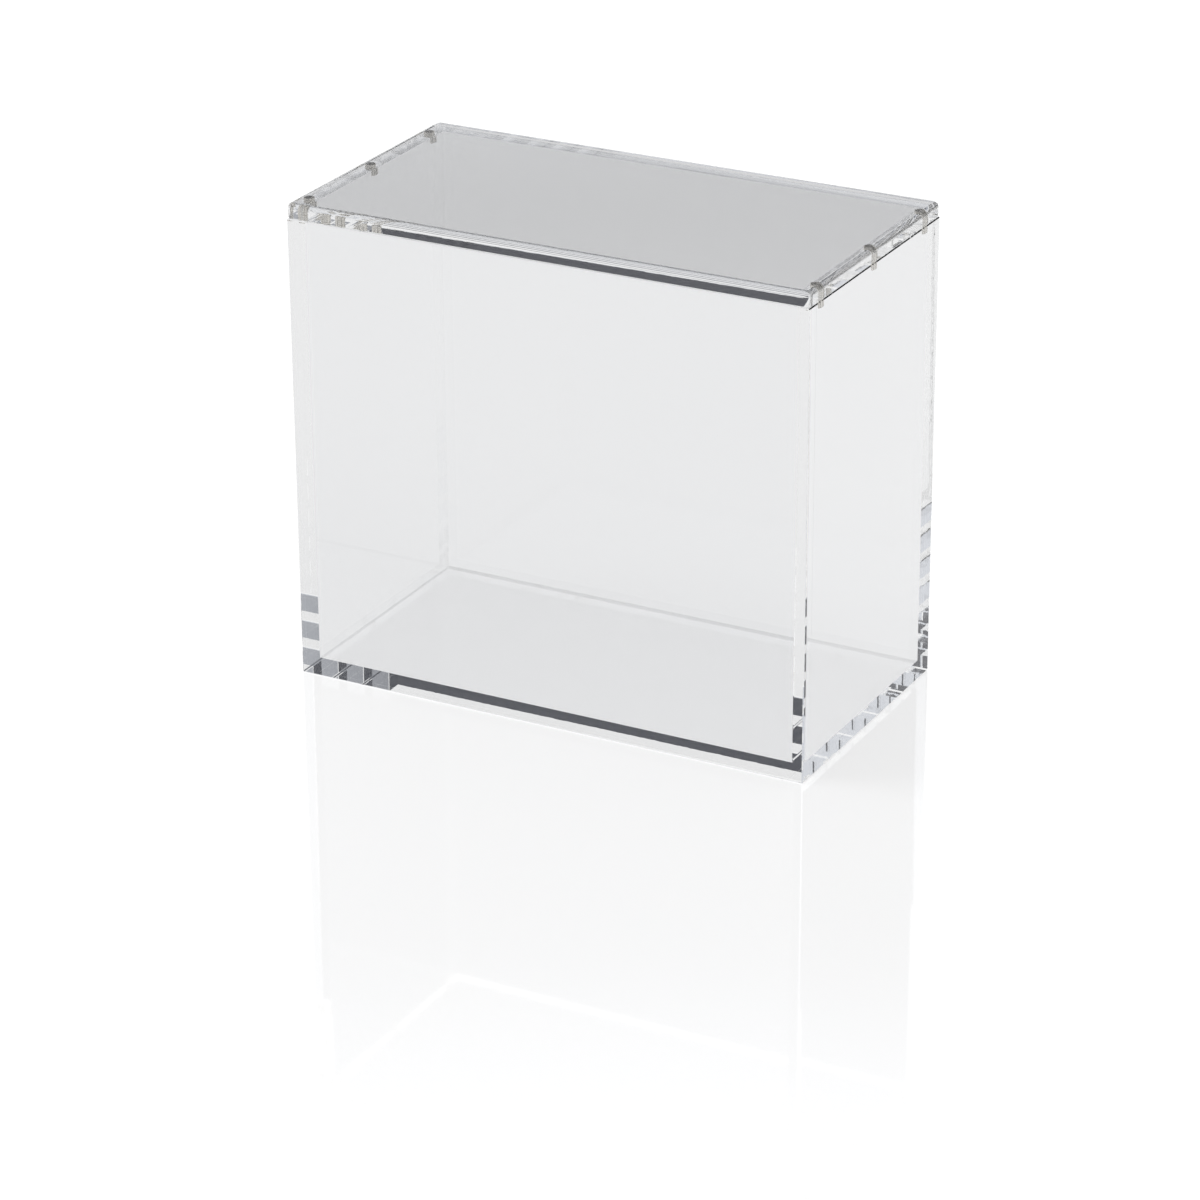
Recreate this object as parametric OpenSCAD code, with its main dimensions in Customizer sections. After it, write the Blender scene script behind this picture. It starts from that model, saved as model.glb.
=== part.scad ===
// Clear acrylic storage box with a lift-off lid that small disc magnets hold in place.
// Five polished panels are solvent-welded into an open case. The lid is one loose panel.
// Millimetres, +Z up, front towards -Y, origin on the table under the middle of the box.

/* [Case] */
// Outside width of the case, left to right
case_w = 203; // [110:1:320]
// Outside depth of the case, front to back
case_d = 106.5; // [70:0.5:220]
// Height of the walls, from the table to the rim
case_h = 175; // [60:1:300]
// Thickness of the sheet that the four walls are cut from
wall_t = 5.6; // [4.8:0.1:10]
// Thickness of the sheet that the base is cut from
base_t = 5.6; // [3:0.1:10]
// Width of the small bevel along each outer edge of the case
case_ease = 0.35; // [0.1:0.05:0.8]

/* [Lid] */
// Thickness of the lid panel
lid_t = 5.6; // [4.6:0.1:10]
// How far the lid stands out past each face of the case
lid_overhang = 0.2; // [0:0.1:2]
// Radius along the polished top edges of the lid
lid_edge_r = 2; // [0.5:0.1:2.4]
// Radius of the lid's four corners, seen from above
lid_corner_r = 2.5; // [2.5:0.1:10]
// Width of the small bevel round the lid's underside
lid_ease = 0.35; // [0.1:0.05:0.8]

/* [Magnets] */
// Diameter of each disc magnet
magnet_d = 4; // [2:0.1:4.5]
// Length of each disc magnet
magnet_l = 3; // [1.5:0.1:3.8]
// Bevel on the plated rims of each magnet
magnet_ease = 0.2; // [0.05:0.05:0.4]
// Distance from the front or back face of the case to the middle of the nearest magnet
magnet_end = 11; // [8:0.5:30]
// How far each magnet stands out of its bore, to meet its partner
magnet_proud = 0.15; // [0:0.05:0.3]
// Adhesive film between a magnet and the wall of its bore
glue_film = 0.05; // [0.02:0.01:0.1]

/* [Resolution] */
// Facets per full circle
facets = 96; // [24:12:180]

/* [Hidden] */

LEFT = -1;
RIGHT = 1;
FRONT = -1;
MIDDLE = 0;
BACK = 1;
SIDES = [LEFT, RIGHT];
ROW = [FRONT, MIDDLE, BACK];

ACRYLIC = [0.84, 0.89, 0.92, 0.45];
NICKEL = [0.74, 0.73, 0.70];

// Clear space inside the four walls
inside_w = case_w - 2 * wall_t;
inside_d = case_d - 2 * wall_t;

// The lid rests on the magnets, which hold it off the rim by twice their stand-out
lid_z = case_h + 2 * magnet_proud;
lid_w = case_w + 2 * lid_overhang;
lid_d = case_d + 2 * lid_overhang;
lid_round = min(lid_edge_r, lid_t - lid_ease, lid_corner_r);

// One bore size serves the walls and the lid. A magnet bottoms in its bore.
bore_d = magnet_d + 2 * glue_film;
bore_depth = magnet_l - magnet_proud;
// Each row of magnets runs down the middle of a side wall's top edge
magnet_x = case_w / 2 - wall_t / 2;
magnet_y = case_d / 2 - magnet_end;
// A cutting tool starts this far outside the face that it cuts
run_out = 1;

// Middle of one magnet's face plane, on the rim of the case or under the lid
function magnet_place(side, place, z) = [side * magnet_x, place * magnet_y, z];

// Rectangle centred on X that stands on the X axis, with all four corners bevelled
module bevelled_rectangle(w, h, bevel) {
    polygon([[-w / 2 + bevel, 0], [w / 2 - bevel, 0], [w / 2, bevel], [w / 2, h - bevel],
             [w / 2 - bevel, h], [-w / 2 + bevel, h], [-w / 2, h - bevel], [-w / 2, bevel]]);
}

// Profile drawn upright in X and Z, carried along Y for a given length about the origin
module along_y(length) {
    translate([0, length / 2, 0])
        rotate([90, 0, 0])
            linear_extrude(length)
                children();
}

// Profile drawn upright, with its width turned to Y, carried along X about the origin
module along_x(length) {
    rotate([0, 0, 90])
        along_y(length)
            children();
}

// Outer form of the welded case as one block, with every outer edge bevelled
module case_block() {
    intersection() {
        translate([0, -case_d / 2, 0])
            linear_extrude(case_h)
                bevelled_rectangle(case_w, case_d, case_ease);
        along_y(case_d)
            bevelled_rectangle(case_w, case_h, case_ease);
        along_x(case_w)
            bevelled_rectangle(case_d, case_h, case_ease);
    }
}

// Blind bores for one row of magnets, cut down from the rim or up from the lid's underside
module magnet_bores(side, z, way) {
    for (place = ROW)
        translate(magnet_place(side, place, z))
            rotate([way > 0 ? 0 : 180, 0, 0])
                translate([0, 0, -run_out])
                    cylinder(d = bore_d, h = bore_depth + run_out, $fn = facets);
}

// Base, let in between the four walls and flush with their lower edges
module base_panel() {
    color(ACRYLIC)
        translate([-inside_w / 2, -inside_d / 2, 0])
            cube([inside_w, inside_d, base_t]);
}

// Front or back wall: full width, so that it covers the ends of the side walls
module long_wall(row) {
    color(ACRYLIC)
        intersection() {
            case_block();
            translate([-case_w / 2, row < 0 ? -case_d / 2 : case_d / 2 - wall_t, 0])
                cube([case_w, wall_t, case_h]);
        }
}

module front_panel() {
    long_wall(FRONT);
}

module back_panel() {
    long_wall(BACK);
}

// Side wall between the front and the back, bored along its top edge for three magnets
module side_wall(side) {
    color(ACRYLIC)
        difference() {
            intersection() {
                case_block();
                translate([side < 0 ? -case_w / 2 : case_w / 2 - wall_t, -inside_d / 2, 0])
                    cube([wall_t, inside_d, case_h]);
            }
            magnet_bores(side, case_h, -1);
        }
}

module left_panel() {
    side_wall(LEFT);
}

module right_panel() {
    side_wall(RIGHT);
}

// Section through the lid: bevelled lower corners, and round upper ones
module lid_section(w) {
    polygon([[-w / 2 + lid_ease, 0], [w / 2 - lid_ease, 0], [w / 2, lid_ease],
             [w / 2, lid_t - lid_round], [w / 2 - lid_round, lid_t],
             [-w / 2 + lid_round, lid_t], [-w / 2, lid_t - lid_round], [-w / 2, lid_ease]]);
    for (side = SIDES)
        translate([side * (w / 2 - lid_round), lid_t - lid_round])
            circle(r = lid_round, $fn = facets);
}

// The lid's rounding turned about one corner
module lid_corner() {
    rotate_extrude($fn = facets)
        intersection() {
            lid_section(2 * lid_corner_r);
            square([lid_corner_r, lid_t]);
        }
}

// Lid panel: two crossed slabs that share the section, and a turned corner at each end
module lid() {
    color(ACRYLIC)
        translate([0, 0, lid_z])
            difference() {
                union() {
                    along_y(lid_d - 2 * lid_corner_r)
                        lid_section(lid_w);
                    along_x(lid_w - 2 * lid_corner_r)
                        lid_section(lid_d);
                    for (side = SIDES, row = [FRONT, BACK])
                        translate([side * (lid_w / 2 - lid_corner_r), row * (lid_d / 2 - lid_corner_r), 0])
                            lid_corner();
                }
                for (side = SIDES)
                    magnet_bores(side, 0, 1);
            }
}

// Plated disc magnet that stands on the origin, with both rims bevelled
module disc_magnet() {
    r = magnet_d / 2;
    color(NICKEL)
        rotate_extrude($fn = facets)
            polygon([[0, 0], [r - magnet_ease, 0], [r, magnet_ease], [r, magnet_l - magnet_ease],
                     [r - magnet_ease, magnet_l], [0, magnet_l]]);
}

// Magnet glued into the top edge of a side wall
module wall_magnet(side, place) {
    translate(magnet_place(side, place, case_h - bore_depth))
        disc_magnet();
}

// Its partner, glued into the lid's underside
module lid_magnet(side, place) {
    translate(magnet_place(side, place, lid_z - magnet_proud))
        disc_magnet();
}

base_panel();
front_panel();
back_panel();
left_panel();
right_panel();
lid();
wall_magnet(LEFT, FRONT);  // wall_magnet_left_front
wall_magnet(LEFT, MIDDLE);  // wall_magnet_left_middle
wall_magnet(LEFT, BACK);  // wall_magnet_left_back
wall_magnet(RIGHT, FRONT);  // wall_magnet_right_front
wall_magnet(RIGHT, MIDDLE);  // wall_magnet_right_middle
wall_magnet(RIGHT, BACK);  // wall_magnet_right_back
lid_magnet(LEFT, FRONT);  // lid_magnet_left_front
lid_magnet(LEFT, MIDDLE);  // lid_magnet_left_middle
lid_magnet(LEFT, BACK);  // lid_magnet_left_back
lid_magnet(RIGHT, FRONT);  // lid_magnet_right_front
lid_magnet(RIGHT, MIDDLE);  // lid_magnet_right_middle
lid_magnet(RIGHT, BACK);  // lid_magnet_right_back
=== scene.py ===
"""Looks of a clear acrylic storage box with a lift-off lid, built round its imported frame.

The frame gives every panel and magnet at its real size and place, in metres. This script
dresses them: clear acrylic whose welded seams show no interface, nickel-plated magnets, and
a pale studio whose softboxes stand in the world, where clear edges pick them up.
"""

import logging
import math
from dataclasses import dataclass, field
from enum import Enum

import bpy
from mathutils import Matrix, Vector

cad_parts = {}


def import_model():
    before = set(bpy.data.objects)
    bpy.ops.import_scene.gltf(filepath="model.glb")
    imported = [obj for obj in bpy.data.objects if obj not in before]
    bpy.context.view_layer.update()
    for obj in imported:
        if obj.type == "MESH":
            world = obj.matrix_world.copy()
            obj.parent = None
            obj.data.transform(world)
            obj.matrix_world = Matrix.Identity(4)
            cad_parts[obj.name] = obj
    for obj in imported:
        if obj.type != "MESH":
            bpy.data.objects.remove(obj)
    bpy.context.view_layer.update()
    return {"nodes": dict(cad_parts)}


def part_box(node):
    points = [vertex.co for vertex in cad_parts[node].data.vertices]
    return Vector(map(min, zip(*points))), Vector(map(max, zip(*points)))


LOG = logging.getLogger("acrylic_box")
MM = 0.001
Colour = tuple[float, float, float, float]
WHITE: Colour = (1.0, 1.0, 1.0, 1.0)
AXES = range(3)


class Side(Enum):
    """Side of the box that a row of magnets runs along, as the sign of its X."""

    LEFT = -1
    RIGHT = 1


class Place(Enum):
    """Place of a magnet in its row."""

    FRONT = "front"
    MIDDLE = "middle"
    BACK = "back"


def grey(level: float) -> Colour:
    """Return a neutral colour of the given level."""
    return (level, level, level, 1.0)


class Graph:
    """A node tree under construction, with short calls for the nodes that the finishes share."""

    def __init__(self, tree: bpy.types.NodeTree) -> None:
        """Start from an empty tree.

        Args:
            tree: The node tree of a material or of the world.
        """
        self.tree = tree
        tree.nodes.clear()

    def add(self, kind: str, **settings: object) -> bpy.types.Node:
        """Add one node.

        Args:
            kind: The node's type, without its ShaderNode prefix.
            **settings: Properties to set on the node.

        Returns:
            The new node.
        """
        node = self.tree.nodes.new("ShaderNode" + kind)
        for name, value in settings.items():
            setattr(node, name, value)
        return node

    def feed(self, socket: bpy.types.NodeSocket, value: object) -> None:
        """Link a socket to another one, or give it a plain value.

        Args:
            socket: The input to feed.
            value: An output socket, a number, a vector or a colour.
        """
        if isinstance(value, bpy.types.NodeSocket):
            self.tree.links.new(value, socket)
        else:
            socket.default_value = value

    def apply(self, node: bpy.types.Node, *values: object) -> bpy.types.NodeSocket:
        """Feed a node's inputs in order.

        Args:
            node: The node to feed.
            *values: One socket or plain value for each input, from the first on.

        Returns:
            The node's first output.
        """
        for socket, value in zip(node.inputs, values):
            self.feed(socket, value)
        return node.outputs[0]

    def math(self, operation: str, *values: object) -> bpy.types.NodeSocket:
        """Return the output of a Math node on sockets or numbers."""
        return self.apply(self.add("Math", operation=operation), *values)

    def vector(self, operation: str, *values: object) -> bpy.types.NodeSocket:
        """Return the vector that a Vector Math node makes of sockets or vectors."""
        return self.apply(self.add("VectorMath", operation=operation), *values)

    def ramp(
        self,
        value: bpy.types.NodeSocket,
        start: float,
        end: float,
        low: float = 0.0,
        high: float = 1.0,
    ) -> bpy.types.NodeSocket:
        """Carry a value smoothly from one range to another, held at both ends.

        Args:
            value: The socket to carry over.
            start: Value that gives the low result.
            end: Value that gives the high result, and may be below start.
            low: Result at the start.
            high: Result at the end.

        Returns:
            The carried value.
        """
        node = self.add("MapRange", interpolation_type="SMOOTHSTEP")
        return self.apply(node, value, start, end, low, high)

    def noise(self, point: bpy.types.NodeSocket, scale: float, detail: float) -> bpy.types.NodeSocket:
        """Spread soft noise from 0 to 1 over a surface.

        Args:
            point: Where the noise is read, in metres.
            scale: Waves to the metre.
            detail: Layers of finer waves.

        Returns:
            The noise's value.
        """
        node = self.add("TexNoise")
        self.feed(node.inputs["Vector"], point)
        node.inputs["Scale"].default_value = scale
        node.inputs["Detail"].default_value = detail
        return node.outputs["Fac"]

    def bump(self, height: bpy.types.NodeSocket, strength: float, rise: float) -> bpy.types.NodeSocket:
        """Raise a surface by a height from 0 to 1.

        Args:
            height: The pattern to raise.
            strength: Share of the pattern that shows.
            rise: Height of a full step, in metres.

        Returns:
            The bent normal.
        """
        node = self.add("Bump")
        node.inputs["Strength"].default_value = strength
        node.inputs["Distance"].default_value = rise
        self.feed(node.inputs["Height"], height)
        return node.outputs[0]

    def mix(self, factor: object, first: object, second: object) -> bpy.types.NodeSocket:
        """Return a mix of two shaders."""
        return self.apply(self.add("MixShader"), factor, first, second)

    def tint(self, factor: object, first: object, second: object) -> bpy.types.NodeSocket:
        """Mix two colours.

        Args:
            factor: Share of the second colour.
            first: Colour or socket at 0.
            second: Colour or socket at 1.

        Returns:
            The mixed colour.
        """
        node = self.add("Mix", data_type="RGBA")
        for name, value in (("Factor_Float", factor), ("A_Color", first), ("B_Color", second)):
            self.feed(next(s for s in node.inputs if s.identifier == name), value)
        return next(s for s in node.outputs if s.identifier == "Result_Color")

    def finish(self, kind: str, surface: bpy.types.NodeSocket) -> None:
        """Add the tree's output node and give it its surface."""
        self.feed(self.add(kind).inputs["Surface"], surface)


def new_material(name: str) -> tuple[bpy.types.Material, Graph]:
    """Return a new material and the empty graph of its nodes."""
    material = bpy.data.materials.new(name)
    material.use_nodes = True
    return material, Graph(material.node_tree)


@dataclass(frozen=True)
class Zone:
    """A box-shaped stretch of the frame, within which a face is bonded to its neighbour."""

    centre: Vector
    half: Vector

    @classmethod
    def of(cls, low: Vector, high: Vector, grow: float) -> "Zone":
        """Return the zone between two corners, grown by a margin on every side."""
        return cls((low + high) / 2, (high - low) / 2 + Vector((grow, grow, grow)))

    def mask(self, graph: Graph, point: bpy.types.NodeSocket) -> bpy.types.NodeSocket:
        """Mark the points that lie in the zone.

        Args:
            graph: The graph that asks.
            point: The point, in the frame's own axes.

        Returns:
            1 in the zone and 0 elsewhere.
        """
        away = graph.vector("ABSOLUTE", graph.vector("SUBTRACT", point, self.centre))
        past = graph.add("SeparateXYZ")
        graph.feed(past.inputs[0], graph.vector("SUBTRACT", away, self.half))
        widest = graph.math("MAXIMUM", past.outputs[0], past.outputs[1])
        return graph.math("LESS_THAN", graph.math("MAXIMUM", widest, past.outputs[2]), 0.0)


@dataclass(frozen=True)
class ClearAcrylic:
    """Cast acrylic sheet with polished edges, clear to the point that only its edges show."""

    name: str
    colour: Colour = (0.992, 0.995, 1.0, 1.0)
    refraction: float = 1.491
    shade: float = 0.92
    ripple: float = 0.0012 * MM
    ripple_scale: float = 350.0
    speck: float = 0.35
    speck_scale: float = 2600.0
    speck_from: float = 0.80
    speck_full: float = 0.86

    def sheet(self, graph: Graph, point: bpy.types.NodeSocket) -> bpy.types.NodeSocket:
        """Make the clear sheet, with polishing ripples and sparse specks of dust.

        Args:
            graph: The material's graph.
            point: The point on the panel.

        Returns:
            The sheet's shader.
        """
        body = graph.add("BsdfPrincipled")
        body.inputs["Base Color"].default_value = self.colour
        body.inputs["IOR"].default_value = self.refraction
        body.inputs["Transmission Weight"].default_value = 1.0
        dust = graph.noise(point, self.speck_scale, 1.0)
        specks = graph.ramp(dust, self.speck_from, self.speck_full, 0.0, self.speck)
        graph.feed(body.inputs["Roughness"], specks)
        waves = graph.noise(point, self.ripple_scale, 1.0)
        graph.feed(body.inputs["Normal"], graph.bump(waves, 1.0, self.ripple))
        return body.outputs[0]

    def build(self, zones: list[Zone]) -> bpy.types.Material:
        """Make the material for one panel.

        Args:
            zones: Where the panel's faces are bonded and let light straight through.

        Returns:
            The finished material.
        """
        material, graph = new_material(self.name)
        point = graph.add("TexCoord").outputs["Object"]
        sheet = self.sheet(graph, point)
        bond = graph.add("BsdfTransparent")
        bonded: object = 0.0
        for zone in zones:
            bonded = graph.math("MAXIMUM", bonded, zone.mask(graph, point))
        seen = graph.mix(bonded, sheet, bond.outputs[0])
        path = graph.add("LightPath")
        lighting = graph.math("MAXIMUM", path.outputs["Is Shadow Ray"], path.outputs["Is Diffuse Ray"])
        shade = graph.add("BsdfTransparent")
        shade.inputs["Color"].default_value = grey(self.shade)
        graph.finish("OutputMaterial", graph.mix(lighting, seen, shade.outputs[0]))
        return material


@dataclass(frozen=True)
class NickelPlate:
    """Bright nickel plate, clouded by handling, with a fine grain."""

    name: str = "nickel_plate"
    colour: Colour = (0.66, 0.64, 0.60, 1.0)
    smooth: float = 0.12
    dull: float = 0.32
    cloud_scale: float = 900.0
    cloud_detail: float = 4.0
    cloud_from: float = 0.35
    cloud_full: float = 0.7
    grain_scale: float = 4000.0
    grain_detail: float = 3.0
    grain_strength: float = 0.15
    grain_rise: float = 0.02 * MM

    def build(self) -> bpy.types.Material:
        """Return the finished material."""
        material, graph = new_material(self.name)
        point = graph.add("TexCoord").outputs["Object"]
        body = graph.add("BsdfPrincipled")
        body.inputs["Base Color"].default_value = self.colour
        body.inputs["Metallic"].default_value = 1.0
        cloud = graph.noise(point, self.cloud_scale, self.cloud_detail)
        dulled = graph.ramp(cloud, self.cloud_from, self.cloud_full, self.smooth, self.dull)
        graph.feed(body.inputs["Roughness"], dulled)
        grain = graph.noise(point, self.grain_scale, self.grain_detail)
        graph.feed(body.inputs["Normal"], graph.bump(grain, self.grain_strength, self.grain_rise))
        graph.finish("OutputMaterial", body.outputs[0])
        return material


def dress(node: bpy.types.Object, material: bpy.types.Material) -> None:
    """Give a frame node one finish all over.

    Args:
        node: The piece, as the frame holds it.
        material: The finish that it wears.
    """
    for slot in node.material_slots:
        slot.material = material
    if not node.material_slots:
        node.data.materials.append(material)
    LOG.info("%s wears %s", node.name, material.name)


@dataclass
class MagnetRow:
    """The magnets that one acrylic part carries along its two sides, and the glue round them."""

    owner: str
    glue: float = 0.07 * MM

    def names(self) -> list[str]:
        """Return the frame's names of the magnets."""
        rows = (f"{self.owner}_magnet_{side.name.lower()}" for side in Side)
        return [f"{row}_{place.value}" for row in rows for place in Place]

    def zones(self) -> list[Zone]:
        """Return the bores, where glue joins each magnet to the acrylic with no gap of air."""
        return [Zone.of(*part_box(name), self.glue) for name in self.names()]

    def dress(self, nodes: dict[str, bpy.types.Object], plate: bpy.types.Material) -> None:
        """Plate every magnet of the row."""
        for name in self.names():
            dress(nodes[name], plate)


@dataclass
class Case:
    """The open case: a base and four walls, welded face to face."""

    panels: tuple[str, ...] = ("base_panel", "front_panel", "back_panel", "left_panel", "right_panel")
    film: float = 0.02 * MM
    magnets: MagnetRow = field(default_factory=lambda: MagnetRow("wall"))

    def zones(self, panel: str) -> list[Zone]:
        """Find where a panel is bonded to the others and to its magnets.

        Args:
            panel: Name of the panel.

        Returns:
            One zone for each welded neighbour and each magnet's bore.
        """
        low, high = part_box(panel)
        others = [other for other in self.panels if other != panel]
        welds = [Zone.of(*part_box(other), self.film) for other in others if self.touch(panel, other)]
        return welds + [
            bore
            for bore in self.magnets.zones()
            if all(low[axis] < bore.centre[axis] < high[axis] for axis in AXES)
        ]

    def touch(self, first: str, second: str) -> bool:
        """Tell whether two panels meet along a face.

        Args:
            first: Name of one panel.
            second: Name of the other.

        Returns:
            True where no gap wider than the weld lies between them.
        """
        low_a, high_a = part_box(first)
        low_b, high_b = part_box(second)
        return all(
            low_a[axis] - self.film < high_b[axis] and low_b[axis] - self.film < high_a[axis]
            for axis in AXES
        )

    def dress(self, nodes: dict[str, bpy.types.Object], plate: bpy.types.Material) -> None:
        """Finish the case's panels and magnets.

        Args:
            nodes: The frame's pieces by name.
            plate: The magnets' finish.
        """
        for panel in self.panels:
            dress(nodes[panel], ClearAcrylic("acrylic_" + panel).build(self.zones(panel)))
        self.magnets.dress(nodes, plate)


@dataclass
class Lid:
    """The loose lid panel and the magnets under it."""

    panel: str = "lid"
    magnets: MagnetRow = field(default_factory=lambda: MagnetRow("lid"))

    def dress(self, nodes: dict[str, bpy.types.Object], plate: bpy.types.Material) -> None:
        """Finish the lid panel and its magnets."""
        dress(nodes[self.panel], ClearAcrylic("acrylic_" + self.panel).build(self.magnets.zones()))
        self.magnets.dress(nodes, plate)


@dataclass(frozen=True)
class StudioFloor:
    """White glossy table, with its own level to the camera and behind clear acrylic, and a painted pool
    of light on it under the box.
    """

    paint: float = 0.80
    paint_through: float = 0.20
    glow_seen: float = 0.29
    glow_through: float = 0.59
    # Glow of the painted pool of light under the base, seen through the acrylic
    painted_pool_under_box: float = 0.76
    gloss: float = 0.24
    roughness: float = 0.035
    margin: float = 1.0 * MM

    def glow(self, graph: Graph, path: bpy.types.Node) -> bpy.types.NodeSocket:
        """Work out how brightly the table shines of itself, with a painted pool of light under the box's
        base.

        Args:
            graph: The material's graph.
            path: The node that tells one kind of ray from another.

        Returns:
            The strength of the glow.
        """
        point = graph.add("TexCoord").outputs["Object"]
        # Painted pool of light: behind clear acrylic the table glows brighter inside the base's
        # footprint
        under = Zone.of(*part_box("base_panel"), self.margin).mask(graph, point)
        glow_with_painted_pool = graph.ramp(under, 0.0, 1.0, self.glow_through, self.painted_pool_under_box)
        through = graph.math("MULTIPLY", path.outputs["Is Transmission Ray"], glow_with_painted_pool)
        direct = graph.math("MAXIMUM", path.outputs["Is Camera Ray"], path.outputs["Is Glossy Ray"])
        return graph.math("MAXIMUM", through, graph.math("MULTIPLY", direct, self.glow_seen))

    def build(self) -> bpy.types.Material:
        """Return the finished material, whose gloss shows only where no acrylic is in front."""
        material, graph = new_material("studio_floor")
        path = graph.add("LightPath")
        behind = path.outputs["Is Transmission Ray"]
        paint = graph.add("BsdfDiffuse")
        graph.feed(paint.inputs["Color"], graph.tint(behind, grey(self.paint), grey(self.paint_through)))
        glow = graph.add("Emission")
        graph.feed(glow.inputs["Strength"], self.glow(graph, path))
        base = graph.apply(graph.add("AddShader"), paint.outputs[0], glow.outputs[0])
        shine = graph.add("BsdfGlossy")
        shine.inputs["Roughness"].default_value = self.roughness
        gloss = graph.math("MULTIPLY", graph.math("SUBTRACT", 1.0, behind), self.gloss)
        graph.finish("OutputMaterial", graph.mix(gloss, base, shine.outputs[0]))
        return material


@dataclass(frozen=True)
class Softbox:
    """A patch of even light in the room, given by its place in the sky as seen from the box.

    Turn is the compass angle in degrees, 0 behind the box and 90 to its right. The patch
    reaches as far to either side of it, and stands between two heights above the horizon.
    """

    turn: float
    reach: float
    low: float
    high: float
    level: Colour
    blur: float = 4.0

    def cover(
        self,
        graph: Graph,
        turn: bpy.types.NodeSocket,
        rise: bpy.types.NodeSocket,
    ) -> bpy.types.NodeSocket:
        """Find a ray's share of the patch.

        Args:
            graph: The world's graph.
            turn: Compass angle of the ray, in degrees.
            rise: Angle of the ray above the horizon, in degrees.

        Returns:
            1 inside the patch and 0 outside, with a soft edge.
        """
        away = graph.math("WRAP", graph.math("SUBTRACT", turn, self.turn), 180.0, -180.0)
        aside = graph.math("ABSOLUTE", away)
        side = graph.ramp(aside, self.reach + self.blur, self.reach - self.blur)
        foot = graph.ramp(rise, self.low - self.blur / 2, self.low + self.blur / 2)
        head = graph.ramp(rise, self.high + self.blur / 2, self.high - self.blur / 2)
        return graph.math("MULTIPLY", side, graph.math("MULTIPLY", foot, head))


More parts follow.
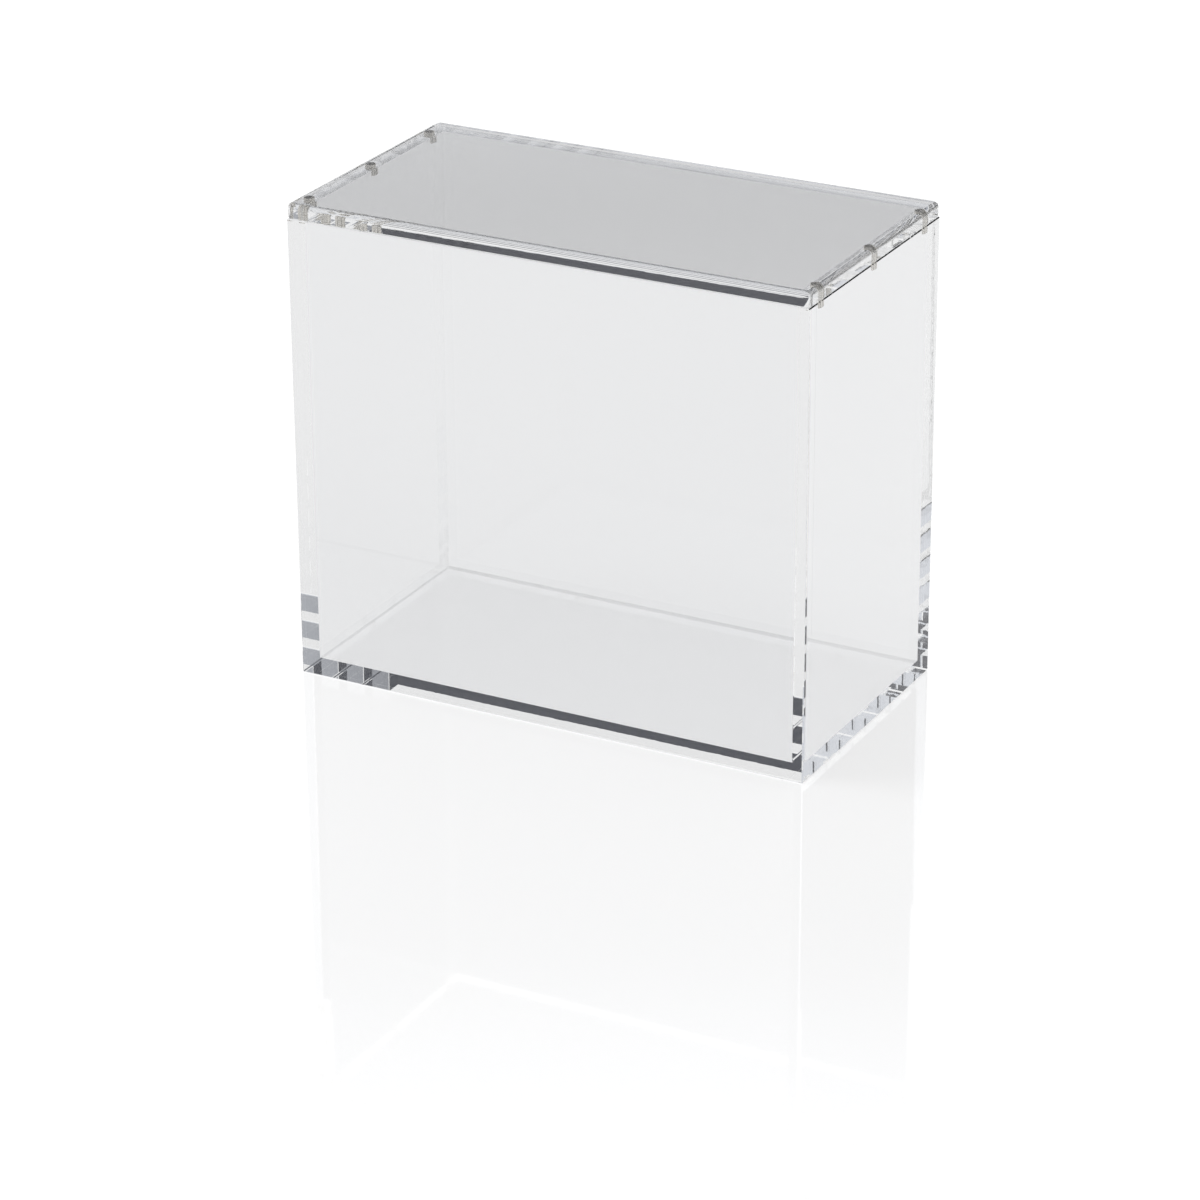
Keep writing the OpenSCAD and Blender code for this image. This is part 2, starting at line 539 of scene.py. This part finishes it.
@dataclass
class Studio:
    """Floor, room light and camera."""

    floor_reach: float = 7.0
    floor_drop: float = 0.02 * MM
    azimuth: float = 28.10
    elevation: float = 23.86
    roll: float = -0.345
    across: float = 19.42 * MM
    above: float = 45.10 * MM
    distance: float = 1562.1 * MM
    focal: float = 131.23
    sensor: float = 36.0
    sight: float = 50.0
    lamp_level: float = 1.8
    lamp_width: float = 35.0
    lamp_slant: tuple[float, float, float] = (0.8, 0.25, 0.75)
    fill: float = 0.36
    bounces: int = 48
    surface_bounces: int = 40
    seam_bounces: int = 64
    sky: Colour = (0.60, 0.62, 0.66, 1.0)
    patches: tuple[Softbox, ...] = (
        Softbox(0.0, 181.0, -91.0, 15.0, grey(0.86)),
        Softbox(-12.0, 44.0, 17.0, 30.0, (0.045, 0.048, 0.060, 1.0)),
        Softbox(-32.0, 40.0, 31.0, 44.0, (0.36, 0.37, 0.40, 1.0), 6.0),
        Softbox(-145.0, 30.0, 35.0, 70.0, grey(0.85)),
        Softbox(-110.0, 30.0, 15.0, 60.0, grey(0.92)),
        Softbox(110.0, 30.0, 15.0, 60.0, grey(0.92)),
    )

    def floor(self) -> None:
        """Lay a large pale floor just under the box."""
        level = -self.floor_drop
        near, far = -self.floor_reach, self.floor_reach
        corners = [(near, near, level), (far, near, level), (far, far, level), (near, far, level)]
        mesh = bpy.data.meshes.new("floor")
        mesh.from_pydata(corners, [], [(0, 1, 2, 3)])
        mesh.materials.append(StudioFloor().build())
        plane = bpy.data.objects.new("floor", mesh)
        bpy.context.scene.collection.objects.link(plane)

    def room(self, graph: Graph) -> bpy.types.NodeSocket:
        """Set the softboxes round the room, each over the ones before it.

        Args:
            graph: The world's graph.

        Returns:
            The room's colour along a ray.
        """
        ray = graph.add("SeparateXYZ")
        graph.feed(ray.inputs[0], graph.add("TexCoord").outputs["Generated"])
        turn = graph.math("DEGREES", graph.math("ARCTAN2", ray.outputs["X"], ray.outputs["Y"]))
        rise = graph.math("DEGREES", graph.math("ARCSINE", ray.outputs["Z"]))
        colour: object = self.sky
        for patch in self.patches:
            colour = graph.tint(patch.cover(graph, turn, rise), colour, patch.level)
        return colour

    def world(self) -> None:
        """Fill the room with light: a white backdrop, even light on matt paint, and the softboxes.

        Only rays that a clear or polished face has sent on see the softboxes.
        """
        world = bpy.data.worlds.new("studio")
        bpy.context.scene.world = world
        world.use_nodes = True
        graph = Graph(world.node_tree)
        room = self.room(graph)
        path = graph.add("LightPath")
        sent_on = graph.math("SUBTRACT", 1.0, path.outputs["Is Camera Ray"])
        sharp = graph.math("MULTIPLY", path.outputs["Is Singular Ray"], sent_on)
        matt = graph.math("MULTIPLY", path.outputs["Is Diffuse Ray"], 1.0 - self.fill)
        light = graph.add("Background")
        graph.feed(light.inputs["Color"], graph.tint(sharp, WHITE, room))
        graph.feed(light.inputs["Strength"], graph.math("SUBTRACT", 1.0, matt))
        graph.finish("OutputWorld", light.outputs[0])

    def lamps(self) -> None:
        """Light the box softly from both sides, for the pale shadows on the table."""
        aside, onward, down = self.lamp_slant
        for side in Side:
            lamp = bpy.data.lights.new("side_light", "SUN")
            lamp.energy = self.lamp_level
            lamp.angle = math.radians(self.lamp_width)
            stand = bpy.data.objects.new("side_light", lamp)
            towards = Vector((-side.value * aside, onward, -down))
            stand.rotation_euler = towards.to_track_quat("-Z", "Y").to_euler()
            stand.visible_camera = False
            stand.visible_transmission = False
            stand.visible_glossy = False
            bpy.context.scene.collection.objects.link(stand)

    def camera(self) -> None:
        """Place the camera at the photograph's angle, from the middle of the front's lower edge."""
        low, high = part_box("front_panel")
        foot = Vector(((low.x + high.x) / 2, low.y, low.z))
        turn, tilt, roll = (math.radians(angle) for angle in (self.azimuth, self.elevation, self.roll))
        level = Vector((math.cos(turn), math.sin(turn), 0))
        away = math.cos(tilt)
        back = Vector((math.sin(turn) * away, -math.cos(turn) * away, math.sin(tilt)))
        rise = back.cross(level)
        right = level * math.cos(roll) + rise * math.sin(roll)
        top = rise * math.cos(roll) - level * math.sin(roll)
        place = Matrix((right, top, back)).transposed().to_4x4()
        place.translation = foot + right * self.across + top * self.above + back * self.distance
        lens = bpy.data.cameras.new("camera")
        lens.sensor_width = self.sensor
        lens.lens = self.focal
        lens.clip_end = self.sight
        eye = bpy.data.objects.new("camera", lens)
        eye.matrix_world = place
        bpy.context.scene.collection.objects.link(eye)
        bpy.context.scene.camera = eye

    def set_up(self) -> None:
        """Build the studio, with enough bounces for light that runs along inside the sheets."""
        scene = bpy.context.scene
        scene.view_settings.view_transform = "Standard"
        scene.cycles.max_bounces = self.bounces
        scene.cycles.glossy_bounces = self.surface_bounces
        scene.cycles.transmission_bounces = self.surface_bounces
        scene.cycles.transparent_max_bounces = self.seam_bounces
        self.floor()
        self.world()
        self.lamps()
        self.camera()
        LOG.info("studio stands with %d softboxes", len(self.patches))


def main() -> None:
    """Load the frame, dress its pieces and set up the studio."""
    logging.basicConfig(level=logging.INFO, format="%(message)s")
    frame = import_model()
    plate = NickelPlate().build()
    Case().dress(frame["nodes"], plate)
    Lid().dress(frame["nodes"], plate)
    Studio().set_up()


if __name__ == "__main__":
    main()
